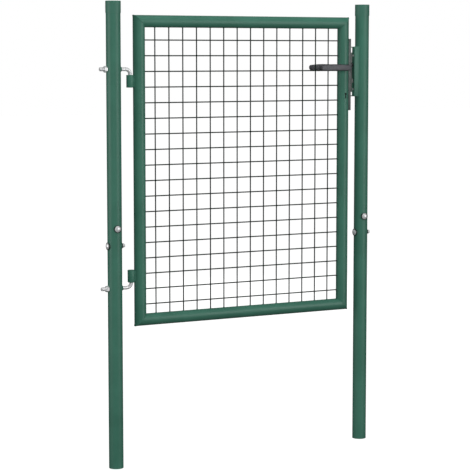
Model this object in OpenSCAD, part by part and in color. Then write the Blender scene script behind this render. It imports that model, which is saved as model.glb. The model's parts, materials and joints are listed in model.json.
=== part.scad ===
// Small single-leaf gate of welded mesh in a round-tube frame, hung between two round posts.
// X runs along the gate from the hinge post to the latch post, +Y points to the rear, +Z is up.
// The origin is on the axis of the left post, at the post's foot.

/* [Posts] */
// Outer diameter of both posts
post_d = 47; // [40:1:56]
// Wall of the post tube
post_wall = 1.5; // [1:0.1:2.5]
// Length of one whole post, lower and upper half together
post_h = 1500; // [1250:10:2000]
// Height of the joint between the two halves of a post
post_joint_h = 750; // [700:10:860]
// Distance between the axes of the two posts
post_spacing = 930; // [775:5:1300]
// Length of the coupler tube inside each post joint
coupler_h = 140; // [110:5:200]
// Wall of the coupler tube
coupler_wall = 1.5; // [1:0.1:2.5]
// Height of a post cap's skirt
cap_h = 38; // [20:1:50]
// Wall of a post cap's skirt
cap_wall = 0.9; // [0.8:0.1:2]
// Thickness of a post cap's top
cap_top = 1.2; // [1:0.1:3]

/* [Post bolts] */
// Diameter of the carriage bolts
bolt_d = 8; // [6:1:10]
// Diameter of a carriage bolt's head
bolt_head_d = 20; // [14:0.5:22]
// Height of a carriage bolt's head
bolt_head_h = 5; // [3:0.5:6]
// Height of the front bolt above the post joint
bolt_up = 29; // [20:1:40]
// Depth of the side bolt below the post joint
bolt_down = 27; // [20:1:40]
// Diameter of the saddle washer under a head
saddle_d = 25; // [22:0.5:28]
// Diameter of the saddle washer under a nut
nut_saddle_d = 18; // [16:0.5:22]
// Thickness of a saddle washer over the crown of the post
saddle_t = 2; // [1:0.5:4]
// Width across the flats of a bolt's nut
bolt_nut_af = 13; // [12:1:17]
// Height of a bolt's nut
bolt_nut_h = 6.5; // [5:0.5:9]
// Bolt end that stands out of its nut
bolt_tail = 3.5; // [1:0.5:8]

/* [Gate leaf] */
// Overall height of the leaf
gate_h = 999; // [830:1:1200]
// Distance from the top of the post tubes down to the leaf's top edge
gate_drop = 42.5; // [40:0.5:200]
// Gap between the left post and the leaf
hinge_gap = 46; // [45:0.5:60]
// Gap between the leaf and the right post
latch_gap = 33; // [30:0.5:60]
// Outer diameter of the frame tube
frame_d = 39; // [37:1:42]
// Wall of the frame tube
frame_wall = 1.5; // [1:0.1:1.8]
// Pitch of the mesh
mesh_pitch = 50; // [25:5:75]
// Diameter of the mesh wires
mesh_wire = 4; // [3:0.5:5]
// Gap between the top rail and the axis of the top wire
mesh_top_gap = 40; // [10:0.5:50]
// Least gap between a rail or stile and the last wire's axis
mesh_edge_min = 20; // [10:1:30]

/* [Hinges] */
// Diameter of the hook rods and their pins
hook_d = 12; // [10:1:14]
// Radius of a hook's bend, on its centre line
hook_bend = 16; // [13:1:18]
// Length of a hook's straight pin
hook_pin = 38; // [20:1:39]
// Distance from the leaf's lower edge up to the lower hook
lower_hook_rise = 127.5; // [90:0.5:200]
// Distance from the leaf's top edge down to the upper hook
upper_hook_drop = 171.5; // [90:0.5:200]
// Threaded rod that stands out on the far side of the left post
hook_thread = 25; // [14:1:40]
// Width across the flats of a hook's lock nut
hook_nut_af = 18; // [17:1:21]
// Height of a hook's lock nut
hook_nut_h = 9.5; // [7:0.5:11]
// Outer diameter of the threaded bush welded into the post for a hook
bush_d = 16; // [16:0.5:20]
// Length of that bush outside the post
bush_proud = 2.5; // [1:0.5:6]
// Outer diameter of a hinge sleeve
sleeve_d = 24; // [20:1:26]
// Height of a hinge sleeve
sleeve_h = 40; // [40:1:60]
// Radial running clearance between a pin and its sleeve
pin_clearance = 0.08; // [0.03:0.01:0.1]
// Lift that the upper sleeve leaves before it meets its hook
lift_gap = 2.4; // [1:0.1:4]

/* [Lock] */
// Distance from the leaf's top edge down to the lever spindle
spindle_drop = 168.5; // [150:0.5:400]
// Distance from the spindle axis to the face of the forend
backset = 25; // [24:0.5:27]
// Distance from the spindle axis down to the keyhole
key_drop = 90; // [86:1:95]
// Side of the square spindle
spindle_a = 8; // [7:0.5:8]
// Thickness of the lock case
case_t = 14; // [13.5:0.5:15]
// Wall of the lock case
case_wall = 1.2; // [0.8:0.1:1.2]
// Case above the spindle axis
case_up = 48; // [40:1:60]
// Case below the spindle axis
case_down = 118; // [112:1:125]
// Forend above the spindle axis
forend_up = 96.5; // [85:0.5:110]
// Forend below the spindle axis
forend_down = 145.5; // [140:0.5:160]
// Width of the forend
forend_w = 24; // [23:0.5:26]
// Sheet thickness of the forend
forend_t = 2; // [1.5:0.1:2.5]
// Latch travel when the lever is pushed right down
latch_travel = 10.28; // [8:0.01:10.28]
// Latch that stands out of the forend at rest
latch_reach = 17.5; // [16.5:0.5:18]
// Thickness of the latch and the deadbolt
lock_bolt_t = 11; // [8:0.5:11]
// Height of the latch head
latch_h = 10; // [8:0.5:12]
// Height of the latch axis above the spindle axis
latch_rise = 8; // [7:0.5:9]
// Height of the deadbolt
deadbolt_h = 12; // [8:0.5:14]
// Depth of the deadbolt axis below the spindle axis
deadbolt_drop = 45; // [42:0.5:48]
// Travel of the deadbolt
deadbolt_throw = 18; // [17:0.5:18]

/* [Levers] */
// Length of a lever from the spindle axis to its tip
lever_l = 110; // [90:1:135]
// Height of a lever's grip
lever_h = 22; // [20:0.5:24]
// Thickness of a lever's grip
lever_t = 13; // [10:0.5:16]
// Distance from the leaf's middle plane to the middle of a grip
lever_off = 36; // [33:0.5:45]
// Diameter of a lever's neck
neck_d = 17; // [16:0.5:19]

/* [Keep] */
// Gap between the forend and the keep
keep_gap = 13; // [12:0.5:13.5]
// Sheet thickness of the keep
keep_t = 3; // [2:0.5:4]
// Keep above the spindle axis
keep_up = 70; // [62:1:80]
// Keep below the spindle axis
keep_down = 98.5; // [94:0.5:110]
// Depth of the keep in front of the leaf's middle plane
keep_front = 14; // [13:0.5:16]
// Width of the keep's lip that faces the leaf
lip_w = 16; // [12:0.5:18]
// Thickness of the strike plate
strike_t = 3; // [2:0.5:4]
// Strike plate above the spindle axis
strike_up = 50; // [44:1:58]
// Strike plate below the spindle axis
strike_down = 84; // [76:1:92]
// Length of the stop flange that reaches behind the forend
stop_reach = 20; // [18:0.5:22]
// Chamfer on the stop flange's corners
stop_chamfer = 6; // [2:0.5:10]

/* [Hidden] */
$fn = 96;

GREEN = "#3E6B5A";
DARK_GREEN = "#2A4A3E";
ZINC = "#C9CCCE";
LOCK_GREY = "#4E5654";
LEVER_GREY = "#5E6264";
DARK_STEEL = "#2A2D2D";

// Clearance between parts that are slid together and then stay still
slip = 0.15;
// Clearance between parts that slide or turn in the lock
play = 0.3;
// Difference in diameter between a thread and its nut or tapped hole
thread_gap = 0.1;
// Difference in diameter between a bolt and its plain hole
hole_gap = 0.6;
// Overshoot that carries a cut past the face it opens
over = 1;

// Leaf
post_r = post_d / 2;
frame_r = frame_d / 2;
leaf_left = post_r + hinge_gap;
leaf_right = post_spacing - post_r - latch_gap;
leaf_top = post_h - gate_drop;
leaf_base = leaf_top - gate_h;
left_x = leaf_left + frame_r;
right_x = leaf_right - frame_r;
top_z = leaf_top - frame_r;
bottom_z = leaf_base + frame_r;
inner_w = right_x - left_x - frame_d;
upright_gaps = floor((inner_w - 2 * mesh_edge_min) / mesh_pitch);
upright_x0 = (left_x + right_x - upright_gaps * mesh_pitch) / 2;
level_z0 = top_z - frame_r - mesh_top_gap;
level_gaps = floor((level_z0 - bottom_z - frame_r - mesh_edge_min) / mesh_pitch);

// Hinges
pin_x = leaf_left - sleeve_d / 2;
lower_hook_z = leaf_base + lower_hook_rise;
upper_hook_z = leaf_top - upper_hook_drop;
seat_gap = 0.3;

// Lock: measured from the spindle axis in the leaf's middle plane
spindle_z = leaf_top - spindle_drop;
web_x = backset - forend_t;
case_rear = 15;
case_in = case_t / 2 - case_wall;
slot_play = 0.4;
slot_start = 5;
key_hole_d = 8;
key_slot_w = 4;
key_slot_l = 15;
follower_r = 9;
follower_t = 10;
hub_r = 6.5;
hub_play = 0.07;
hub_end_gap = 0.1;
arm_w = 5;
arm_t = 8;
arm_r = 16;
arm_lean = 35;
lug_x = 2.9;
lug_w = 3;
lug_z = 13.5;
tail_z = 17;
tail_h = 4;
tail_t = 5;
latch_back = 20;
latch_bevel = 10;
pivot_x = -8.5;
pivot_z = -62;
pivot_d = 4;
pivot_play = 0.06;
pivot_eye_r = 4.5;
tumbler_y = 0.5;
tumbler_t = 2.5;
deadbolt_back = -12;
deadbolt_proud = 0.5;
screw_boss_d = 6;
case_screw_d = 3;
case_screw_head_d = 5.4;
case_screw_head_h = 0.9;
case_screw_inset = 5;
case_screw_side = 4.5;
case_screw_x = [case_screw_side - case_rear, web_x - case_screw_side];
case_screw_z = [case_up - case_screw_inset, case_screw_inset - case_down];
forend_screw_inset = 9;
forend_screw_z = [forend_up - forend_screw_inset, forend_screw_inset - forend_down];
plate_screw_d = 4;
plate_screw_head_d = 7;
plate_screw_head_h = 1.8;
forend_screw_l = 12;

// Levers
socket_gap = 0.2;
socket_a = spindle_a + socket_gap;
spindle_end = lever_off + 2;
neck_start = frame_r + 0.6;
grub_d = 5;
grub_l = 4;
grub_socket_d = 2.9;
grub_y = (neck_start + lever_off - lever_t / 2) / 2;
tip_r = 9;
tip_top_r = 6;
hub_grip_r = 10.5;
crown_share = 0.7;
crown_drop = 3;

// Keep: measured from the spindle axis, as the lock is
keep_x = backset + keep_gap;
keep_depth = post_spacing - right_x - keep_x;
strike_x = keep_x + keep_t;
strike_back = forend_w / 2 + seat_gap;
stop_tail = 10;
strike_screw_inset = 10;
strike_screw_z = [strike_up - strike_screw_inset, strike_screw_inset - strike_down];
strike_screw_y = keep_t - keep_front + (lip_w - keep_t) / 2;
strike_screw_l = 9;
window_gap = 2;

// Square-ended block given by its lowest corner and its highest corner
module block(low, high) {
    translate(low) cube(high - low);
}

// Round bar along Y, centred on the leaf's middle plane
module across(d, l) {
    rotate([90, 0, 0]) cylinder(d = d, h = l, center = true);
}

// Hexagonal nut along +Z, chamfered on its outer face
module nut(af, h, bore_d) {
    crown_d = af * 1.06;
    difference() {
        intersection() {
            cylinder(d = af / cos(30), h = h, $fn = 6);
            cylinder(d1 = crown_d + 2 * h, d2 = crown_d, h = h);
        }
        translate([0, 0, -over]) cylinder(d = bore_d, h = h + 2 * over);
    }
}

// Countersunk screw along +X, its flat head at the origin
module plate_screw(l) {
    rotate([0, 90, 0]) {
        cylinder(d1 = plate_screw_head_d, d2 = plate_screw_d, h = plate_screw_head_h);
        cylinder(d = plate_screw_d, h = l);
    }
}

// Countersunk hole for that screw, through a plate of thickness t
module plate_screw_hole(t) {
    widen = 0.4;
    rotate([0, 90, 0]) {
        translate([0, 0, -over]) cylinder(d = plate_screw_d + widen, h = t + 2 * over);
        cylinder(d1 = plate_screw_head_d + widen, d2 = plate_screw_d + widen, h = plate_screw_head_h);
    }
}

// Wire spring of round section, wound along +Z; r is the coil's centre-line radius
module coil(r, wire_d, pitch, turns) {
    steps = 14;
    sides = 6;
    rings = round(turns * steps);
    points = [for (i = [0 : rings], k = [0 : sides - 1])
        let (a = 360 * i / steps, b = 360 * k / sides, q = r + wire_d / 2 * cos(b))
        [q * cos(a), q * sin(a), wire_d / 2 * (1 + sin(b)) + pitch * i / steps]];
    walls = [for (i = [0 : rings - 1], k = [0 : sides - 1])
        let (j = (k + 1) % sides)
        [i * sides + k, i * sides + j, (i + 1) * sides + j, (i + 1) * sides + k]];
    first = [for (k = [0 : sides - 1]) sides - 1 - k];
    last = [for (k = [0 : sides - 1]) rings * sides + k];
    polyhedron(points, concat(walls, [first, last]));
}

// --- Posts ---

// Places a child at the front bolt and the side bolt of both posts: +Z out of the post at the
// bolt's head, Y along the post
module at_post_bolts() {
    for (x = [0, post_spacing]) {
        translate([x, 0, post_joint_h + bolt_up]) rotate([90, 0, 0]) children();
        translate([x, 0, post_joint_h - bolt_down]) rotate([90, 0, -90]) children();
    }
}

module post_bolt_holes(x) {
    hole_d = bolt_d + hole_gap;
    translate([x, 0, post_joint_h + bolt_up]) rotate([90, 0, 0])
        cylinder(d = hole_d, h = 2 * post_d, center = true);
    translate([x, 0, post_joint_h - bolt_down]) rotate([0, 90, 0])
        cylinder(d = hole_d, h = 2 * post_d, center = true);
}

// Tube of one half of a post, from height z0 up to z1
module post_half(x, z0, z1) {
    color(GREEN) difference() {
        translate([x, 0, z0]) cylinder(d = post_d, h = z1 - z0);
        translate([x, 0, z0 - over]) cylinder(d = post_d - 2 * post_wall, h = z1 - z0 + 2 * over);
        post_bolt_holes(x);
        if (x == 0)
            for (z = [lower_hook_z, upper_hook_z])
                if (z > z0 && z < z1)
                    translate([0, 0, z]) rotate([0, 90, 0])
                        cylinder(d = hook_d + 2 * slip, h = 2 * post_d, center = true);
    }
}

module left_post_lower() {
    post_half(0, 0, post_joint_h);
}

module left_post_upper() {
    post_half(0, post_joint_h, post_h);
}

module right_post_lower() {
    post_half(post_spacing, 0, post_joint_h);
}

module right_post_upper() {
    post_half(post_spacing, post_joint_h, post_h);
}

// Tube inside a post that joins its halves
module post_coupler(x) {
    outer_d = post_d - 2 * post_wall - 2 * slip;
    base = post_joint_h - coupler_h / 2;
    color(ZINC) difference() {
        translate([x, 0, base]) cylinder(d = outer_d, h = coupler_h);
        translate([x, 0, base - over])
            cylinder(d = outer_d - 2 * coupler_wall, h = coupler_h + 2 * over);
        post_bolt_holes(x);
    }
}

module left_post_coupler() {
    post_coupler(0);
}

module right_post_coupler() {
    post_coupler(post_spacing);
}

// Cap with a rounded upper edge that slips over the top of a post
module post_cap(x) {
    inner_r = post_r + slip;
    outer_r = inner_r + cap_wall;
    edge_r = 1;
    color(GREEN) translate([x, 0, post_h + cap_top - cap_h]) rotate_extrude() difference() {
        union() {
            square([outer_r, cap_h - edge_r]);
            square([outer_r - edge_r, cap_h]);
            translate([outer_r - edge_r, cap_h - edge_r]) circle(r = edge_r);
        }
        translate([-over, -over]) square([inner_r + over, cap_h - cap_top + over]);
    }
}

module left_post_cap() {
    post_cap(0);
}

module right_post_cap() {
    post_cap(post_spacing);
}

// Domed bolt through a post
module carriage_bolt() {
    seat = post_r + saddle_t;
    dome_r = (pow(bolt_head_d / 2, 2) + pow(bolt_head_h, 2)) / (2 * bolt_head_h);
    tail = seat + bolt_nut_h + bolt_tail;
    intersection() {
        translate([0, 0, seat]) cylinder(d = bolt_head_d, h = bolt_head_h);
        translate([0, 0, seat + bolt_head_h - dome_r]) sphere(r = dome_r);
    }
    translate([0, 0, -tail]) cylinder(d = bolt_d, h = seat + tail);
}

module carriage_bolts() {
    color(ZINC) at_post_bolts() carriage_bolt();
}

// Washer with a flat outer face, hollowed underneath to sit on the post
module saddle(d) {
    difference() {
        cylinder(d = d, h = post_r + saddle_t);
        translate([0, 0, -over]) cylinder(d = bolt_d + hole_gap, h = post_r + saddle_t + 2 * over);
        rotate([90, 0, 0]) cylinder(d = post_d, h = 2 * d, center = true);
    }
}

module head_saddle_washers() {
    color(DARK_GREEN) at_post_bolts() saddle(saddle_d);
}

module nut_saddle_washers() {
    color(DARK_GREEN) at_post_bolts() mirror([0, 0, 1]) saddle(nut_saddle_d);
}

module carriage_nuts() {
    color(ZINC) at_post_bolts() mirror([0, 0, 1]) translate([0, 0, post_r + saddle_t])
        nut(bolt_nut_af, bolt_nut_h, bolt_d + thread_gap);
}

// --- Hinges ---

// Rod through the left post that bends into a pin; up is 1 for a pin that points up, else -1
module hinge_hook(z, up) {
    chamfer = 1;
    start = post_r + hook_thread;
    color(ZINC) translate([0, 0, z]) {
        translate([-start, 0, 0]) rotate([0, 90, 0]) {
            cylinder(d1 = hook_d - 2 * chamfer, d2 = hook_d, h = chamfer);
            translate([0, 0, chamfer]) cylinder(d = hook_d, h = start + pin_x - hook_bend - chamfer);
        }
        translate([pin_x - hook_bend, 0, up * hook_bend])
            rotate([90, 0, 0]) rotate([0, 0, up > 0 ? -90 : 0])
                rotate_extrude(angle = 90) translate([hook_bend, 0]) circle(d = hook_d);
        translate([pin_x, 0, up * hook_bend]) mirror([0, 0, up > 0 ? 0 : 1]) {
            cylinder(d = hook_d, h = hook_pin - chamfer);
            translate([0, 0, hook_pin - chamfer])
                cylinder(d1 = hook_d, d2 = hook_d - 2 * chamfer, h = chamfer);
        }
    }
}

module upper_hinge_hook() {
    hinge_hook(upper_hook_z, -1);
}

module lower_hinge_hook() {
    hinge_hook(lower_hook_z, 1);
}

// Threaded bushes welded to the post, on the leaf's side
module hinge_bushes() {
    foot = 3;
    color(GREEN) for (z = [lower_hook_z, upper_hook_z]) difference() {
        translate([post_r - foot, 0, z]) rotate([0, 90, 0]) difference() {
            cylinder(d = bush_d, h = bush_proud + foot);
            translate([0, 0, -over])
                cylinder(d = hook_d + thread_gap, h = bush_proud + foot + 2 * over);
        }
        translate([0, 0, z]) cylinder(d = post_d, h = 2 * bush_d, center = true);
    }
}

module hinge_lock_nuts() {
    color(ZINC) for (z = [lower_hook_z, upper_hook_z])
        translate([-post_r, 0, z]) rotate([0, -90, 0]) nut(hook_nut_af, hook_nut_h, hook_d + thread_gap);
}

// Tube welded to the left stile that turns on a hook's pin
module hinge_sleeve(z) {
    color(GREEN) translate([pin_x, 0, z]) difference() {
        cylinder(d = sleeve_d, h = sleeve_h);
        translate([0, 0, -over]) cylinder(d = hook_d + 2 * pin_clearance, h = sleeve_h + 2 * over);
    }
}

module upper_hinge_sleeve() {
    hinge_sleeve(upper_hook_z - hook_bend - lift_gap - sleeve_h);
}

module lower_hinge_sleeve() {
    hinge_sleeve(lower_hook_z + hook_bend + seat_gap);
}

// --- Leaf ---

// Keeps the part of its children inside an outline in the plane of the leaf
module mitred(outline) {
    intersection() {
        children();
        rotate([90, 0, 0]) linear_extrude(height = 2 * frame_d, center = true) polygon(outline);
    }
}

// Point on the mitre line of a corner: side is -1 left or 1 right, level is -1 bottom or 1 top,
// reach is positive towards the outside
function mitre_point(side, level, reach) = [
    (side < 0 ? left_x : right_x) + side * reach,
    (level < 0 ? bottom_z : top_z) + level * reach
];

module stile(side) {
    reach = frame_r + over;
    x = side < 0 ? left_x : right_x;
    mitred([mitre_point(side, -1, reach), mitre_point(side, 1, reach),
            mitre_point(side, 1, -reach), mitre_point(side, -1, -reach)])
        difference() {
            translate([x, 0, leaf_base - over]) cylinder(d = frame_d, h = gate_h + 2 * over);
            translate([x, 0, leaf_base - 2 * over])
                cylinder(d = frame_d - 2 * frame_wall, h = gate_h + 4 * over);
        }
}

module rail(level) {
    reach = frame_r + over;
    z = level < 0 ? bottom_z : top_z;
    length = leaf_right - leaf_left;
    color(GREEN)
        mitred([mitre_point(-1, level, reach), mitre_point(1, level, reach),
                mitre_point(1, level, -reach), mitre_point(-1, level, -reach)])
            difference() {
                translate([leaf_left - over, 0, z]) rotate([0, 90, 0])
                    cylinder(d = frame_d, h = length + 2 * over);
                translate([leaf_left - 2 * over, 0, z]) rotate([0, 90, 0])
                    cylinder(d = frame_d - 2 * frame_wall, h = length + 4 * over);
            }
}

module left_stile() {
    color(GREEN) stile(-1);
}

// Stile that takes the lock: slot for the case, holes for the spindle, the key and the screws
module right_stile() {
    spindle_hole_d = 14;
    color(GREEN) difference() {
        stile(1);
        at_lock() {
            block([slot_start, -case_t / 2 - slot_play, -case_down - slot_play],
                  [backset, case_t / 2 + slot_play, case_up + slot_play]);
            across(spindle_hole_d, 2 * frame_d);
            key_hole(2 * frame_d);
            for (z = forend_screw_z) translate([0, 0, z]) rotate([0, 90, 0])
                cylinder(d = plate_screw_d + 2 * thread_gap, h = frame_d);
        }
    }
}

module top_rail() {
    rail(1);
}

module bottom_rail() {
    rail(-1);
}

// Upright wires, welded to the rear of the level ones
module upright_wires() {
    low = bottom_z + frame_r;
    color(DARK_GREEN) for (i = [0 : upright_gaps])
        translate([upright_x0 + i * mesh_pitch, mesh_wire / 2, low])
            cylinder(d = mesh_wire, h = top_z - frame_r - low, $fn = 32);
}

module level_wires() {
    low = left_x + frame_r;
    color(DARK_GREEN) for (i = [0 : level_gaps])
        translate([low, -mesh_wire / 2, level_z0 - i * mesh_pitch]) rotate([0, 90, 0])
            cylinder(d = mesh_wire, h = right_x - frame_r - low, $fn = 32);
}

// --- Lock ---

module at_lock() {
    translate([right_x, 0, spindle_z]) children();
}

// Keyhole along Y: a round hole with a slot below it
module key_hole(l) {
    translate([0, 0, -key_drop]) {
        across(key_hole_d, l);
        block([-key_slot_w / 2, -l / 2, -key_slot_l], [key_slot_w / 2, l / 2, 0]);
    }
}

// Holes along Y that the case and its cover share
module case_holes() {
    across(2 * (hub_r + hub_play), 2 * case_t);
    key_hole(2 * case_t);
    for (x = case_screw_x, z = case_screw_z) translate([x, 0, z])
        across(case_screw_d + thread_gap, 2 * case_t);
}

// Tray of the lock with its screw bosses, its guide ribs and the tumbler's pivot
module lock_case() {
    rib = 1.5;
    front = -case_in;
    color(LOCK_GREY) at_lock() difference() {
        union() {
            difference() {
                block([-case_rear, front, -case_down], [web_x, case_t / 2, case_up]);
                block([-case_rear + case_wall, front - over, -case_down + case_wall],
                      [web_x + over, case_in, case_up - case_wall]);
            }
            for (x = case_screw_x, z = case_screw_z) translate([x, 0, z])
                across(screw_boss_d, 2 * case_in);
            block([-case_rear, front, tail_z + tail_h + play],
                  [web_x, case_in, tail_z + tail_h + play + rib]);
            block([-case_rear, front, -deadbolt_drop + deadbolt_h / 2 + play],
                  [-pivot_x, case_in, -deadbolt_drop + deadbolt_h / 2 + play + rib]);
            block([-case_rear, tumbler_y, -deadbolt_drop - deadbolt_h / 2 - play - rib],
                  [-pivot_x, case_in, -deadbolt_drop - deadbolt_h / 2 - play]);
            translate([pivot_x, (case_in - play) / 2, pivot_z])
                across(pivot_d, case_in + play);
        }
        case_holes();
    }
}

module lock_cover() {
    color(LOCK_GREY) at_lock() difference() {
        block([-case_rear, -case_t / 2, -case_down], [web_x, -case_in, case_up]);
        case_holes();
        at_case_screws() case_screw_head(2 * thread_gap);
    }
}

// Places a child at each case screw, +Z into the case from the cover's outer face
module at_case_screws() {
    for (x = case_screw_x, z = case_screw_z)
        translate([x, -case_t / 2, z]) rotate([-90, 0, 0]) children();
}

// Countersunk head of a case screw, or the hollow for it where wide is above 0
module case_screw_head(wide) {
    cylinder(d1 = case_screw_head_d + wide, d2 = case_screw_d + wide, h = case_screw_head_h);
}

// Countersunk screws that hold the cover on the case
module lock_case_screws() {
    color(ZINC) at_lock() at_case_screws() {
        case_screw_head(0);
        cylinder(d = case_screw_d, h = case_t - case_wall);
    }
}

// Forend: a channel that is fixed to the case and covers the slot in the stile
module forend_plate() {
    leg = 10;
    half = forend_w / 2;
    color(LOCK_GREY) at_lock() difference() {
        block([backset - leg, -half, -forend_down], [backset, half, forend_up]);
        block([backset - leg - over, forend_t - half, -forend_down - over],
              [web_x, half - forend_t, forend_up + over]);
        translate([0, 0, -forend_down - over])
            cylinder(r = frame_r + play, h = forend_up + forend_down + 2 * over);
        bolt_window(latch_rise, latch_h, web_x - over, backset + over);
        bolt_window(-deadbolt_drop, deadbolt_h, web_x - over, backset + over);
        for (z = forend_screw_z) translate([backset, 0, z]) mirror([1, 0, 0])
            plate_screw_hole(forend_t);
    }
}

// Rectangular window for a bolt of height h, centred on z, from x0 to x1
module bolt_window(z, h, x0, x1) {
    y = lock_bolt_t / 2 + play;
    block([x0, -y, z - h / 2 - play], [x1, y, z + h / 2 + play]);
}

module forend_screws() {
    color(ZINC) at_lock() for (z = forend_screw_z) translate([backset, 0, z])
        mirror([1, 0, 0]) plate_screw(forend_screw_l);
}

// Spring that pushes the latch out
module latch_spring() {
    wire = 0.8;
    coil_r = 1.9;
    start = case_wall - case_rear;
    turns = 7;
    color(ZINC) at_lock() translate([start, 0, tail_z + tail_h / 2 - 0.5]) rotate([0, 90, 0])
        coil(coil_r, wire, (lug_x - start - wire) / turns, turns);
}

// Spring round the tumbler's pivot
module tumbler_spring() {
    wire = 0.6;
    turns = 2.5;
    pitch = 0.75;
    color(ZINC) at_lock() translate([pivot_x, case_in, pivot_z]) rotate([90, 0, 0])
        coil(pivot_d / 2 + wire, wire, pitch, turns);
}

// Part that turns the lever's movement into the latch's
module follower() {
    color(DARK_STEEL) at_lock() difference() {
        union() {
            across(2 * follower_r, follower_t);
            across(2 * hub_r, case_t - 2 * hub_end_gap);
            rotate([0, arm_lean, 0])
                block([-arm_w / 2, -arm_t / 2, 0], [arm_w / 2, arm_t / 2, arm_r]);
        }
        block([-socket_a / 2, -case_t, -socket_a / 2], [socket_a / 2, case_t, socket_a / 2]);
    }
}

module spindle() {
    half = spindle_a / 2;
    color(ZINC) at_lock() block([-half, -spindle_end, -half], [half, spindle_end, half]);
}

// Half height of a grip's crowned upper edge at the distance s from the spindle axis
function crown(s) = lever_h / 2 - crown_drop * pow((crown_share * lever_l - s) / (crown_share * lever_l), 2);

// Outline of a grip in the plane of the leaf, pointing towards the hinges
module grip_outline() {
    steps = 12;
    last = lever_l - tip_top_r;
    low = -lever_h / 2;
    translate([0, hub_grip_r + low]) circle(r = hub_grip_r);
    translate([tip_r - lever_l, tip_r + low]) circle(r = tip_r);
    translate([-last, crown(last) - tip_top_r]) circle(r = tip_top_r);
    polygon(concat(
        [[0, low], [tip_r - lever_l, low], [-lever_l, tip_r + low], [-lever_l, crown(last) - tip_top_r]],
        [for (i = [steps : -1 : 0]) [-last * i / steps, crown(last * i / steps)]]
    ));
}

// Lever on the front; its neck carries the socket for the spindle
module lever() {
    inner = lever_off - lever_t / 2;
    difference() {
        union() {
            translate([0, -inner, 0]) rotate([90, 0, 0])
                linear_extrude(height = lever_t) grip_outline();
            translate([0, -neck_start, 0]) rotate([90, 0, 0])
                cylinder(d = neck_d, h = inner - neck_start + over);
        }
        block([-socket_a / 2, -spindle_end - socket_gap, -socket_a / 2],
              [socket_a / 2, 0, socket_a / 2]);
        translate([0, -grub_y, -neck_d]) cylinder(d = grub_d + thread_gap, h = neck_d);
    }
}

module front_lever() {
    color(LEVER_GREY) at_lock() lever();
}

module back_lever() {
    color(LEVER_GREY) at_lock() mirror([0, 1, 0]) lever();
}

// Set screws that clamp the levers on the spindle
module lever_grub_screws() {
    color(DARK_STEEL) at_lock() for (y = [-grub_y, grub_y])
        translate([0, y, -socket_a / 2 - grub_l]) difference() {
            cylinder(d = grub_d, h = grub_l);
            translate([0, 0, -over]) cylinder(d = grub_socket_d, h = over + grub_l / 2, $fn = 6);
        }
}

// Latch: bevelled head, tail above the follower and a lug in front of its arm
module latch_bolt() {
    half = lock_bolt_t / 2;
    tip = backset + latch_reach;
    low = latch_rise - latch_h / 2;
    riser_w = 2.5;
    color(DARK_STEEL) at_lock() {
        difference() {
            block([latch_back, -half, low], [tip, half, low + latch_h]);
            translate([0, 0, low - over]) linear_extrude(height = latch_h + 2 * over)
                polygon([[tip - latch_bevel, half + over / 2], [tip + over, half + over / 2],
                         [tip + over, -half], [tip, -half]]);
        }
        block([latch_back, -tail_t / 2, low], [latch_back + riser_w, tail_t / 2, tail_z + tail_h]);
        block([lug_x, -tail_t / 2, tail_z], [latch_back + riser_w, tail_t / 2, tail_z + tail_h]);
        block([lug_x, -tail_t / 2, lug_z], [lug_x + lug_w, tail_t / 2, tail_z + tail_h]);
    }
}

// Deadbolt with a tail that is notched for the key's bit
module deadbolt() {
    half = lock_bolt_t / 2;
    tail_right = 4;
    tail_low = -79;
    tail_rear = -1;
    notch_left = -7;
    notch_right = -1;
    notch_h = 5;
    low = -deadbolt_drop - deadbolt_h / 2;
    color(DARK_STEEL) at_lock() difference() {
        union() {
            block([deadbolt_back, -half, low],
                  [backset + deadbolt_proud, half, low + deadbolt_h]);
            block([deadbolt_back, -half, tail_low], [tail_right, tail_rear, low + over]);
        }
        block([notch_left, -half - over, tail_low - over], [notch_right, 0, tail_low + notch_h]);
    }
}

// Tumbler that blocks the deadbolt until the key lifts it
module tumbler() {
    arm_l = 18;
    arm_low = 3;
    arm_high = 3.5;
    belly_left = -4;
    belly_w = 11;
    belly_low = 15;
    color(ZINC) at_lock() translate([0, tumbler_y + tumbler_t, 0]) rotate([90, 0, 0])
        linear_extrude(height = tumbler_t) difference() {
            union() {
                translate([pivot_x, pivot_z]) circle(r = pivot_eye_r);
                translate([pivot_x, pivot_z - arm_low]) square([arm_l, arm_low + arm_high]);
                translate([belly_left, pivot_z - belly_low]) square([belly_w, belly_low - over]);
            }
            translate([pivot_x, pivot_z]) circle(r = pivot_d / 2 + pivot_play);
        }
}

// --- Keep on the right post ---

// Bracket that is welded to the right post
module keep_bracket() {
    half = forend_w / 2;
    color(GREEN) difference() {
        at_lock() {
            block([keep_x, -keep_front, -keep_down],
                  [keep_x + keep_depth, keep_t - keep_front, keep_up]);
            block([keep_x, -keep_front, keep_up - keep_t], [keep_x + keep_depth, half, keep_up]);
            block([keep_x, -keep_front, -keep_down], [keep_x + keep_depth, half, keep_t - keep_down]);
            difference() {
                block([keep_x, -keep_front, -keep_down],
                      [keep_x + keep_t, lip_w - keep_front, keep_up]);
                bolt_window(latch_rise, latch_h + window_gap, keep_x - over, strike_x + over);
                bolt_window(-deadbolt_drop, deadbolt_h + window_gap, keep_x - over, strike_x + over);
                for (z = strike_screw_z) translate([keep_x, strike_screw_y, z])
                    plate_screw_hole(keep_t);
            }
        }
        translate([post_spacing, 0, spindle_z - keep_down - over])
            cylinder(d = post_d, h = keep_up + keep_down + 2 * over);
    }
}

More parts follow.
